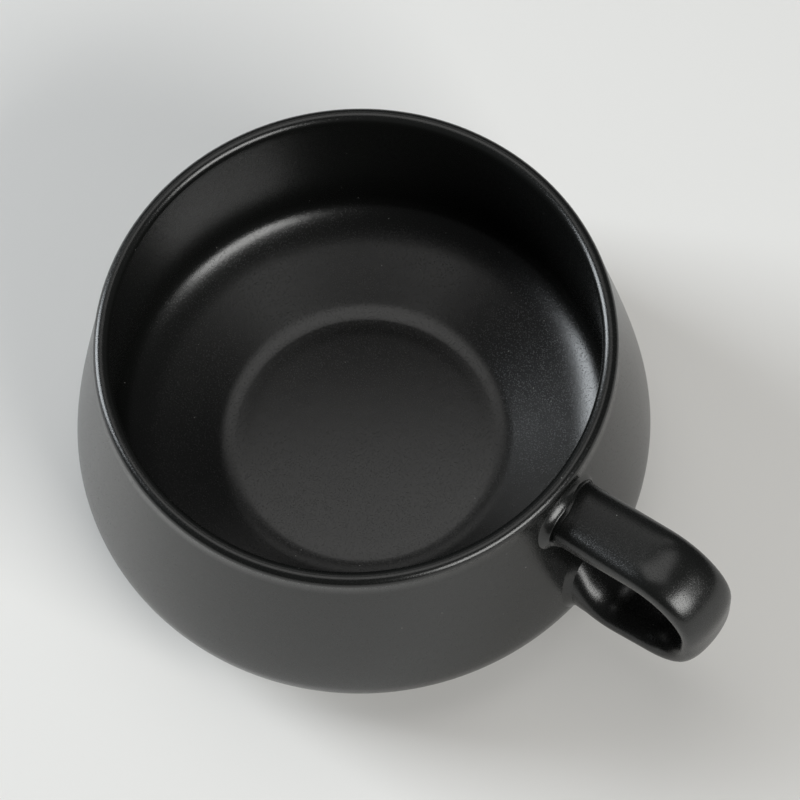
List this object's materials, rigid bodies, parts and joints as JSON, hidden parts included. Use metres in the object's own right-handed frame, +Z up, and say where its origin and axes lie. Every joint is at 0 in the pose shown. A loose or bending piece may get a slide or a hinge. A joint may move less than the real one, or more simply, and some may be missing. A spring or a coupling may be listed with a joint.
{
  "type": "ceramic cup",
  "caption": "Low, wide drinking cup in matte black glazed stoneware, belly set low, walls leaning in to the rim, foot ring below, and a one-finger strap handle stuck on with slip.",
  "frame": {"origin": "on the table under the middle of the whole part's box; the cup's turned axis stands at x = -0.0136 m, y = 0", "axes": "+Z up along the cup's axis, +X from the axis out through the handle"},
  "size_m": [0.1368, 0.1096, 0.054],
  "materials": {
    "body_glaze": "matte black satin glaze on stoneware, bare fired clay on the foot ring's tread",
    "handle_glaze": "matte black satin glaze on stoneware, a little polished by the hand",
    "slip_glaze": "matte black satin glaze over a sponged slip bead"
  },
  "bodies": {
    "root": {"cup_body": "body_glaze", "handle": "handle_glaze", "upper_slip_joint": "slip_glaze", "lower_slip_joint": "slip_glaze"}
  },
  "joints": []
}
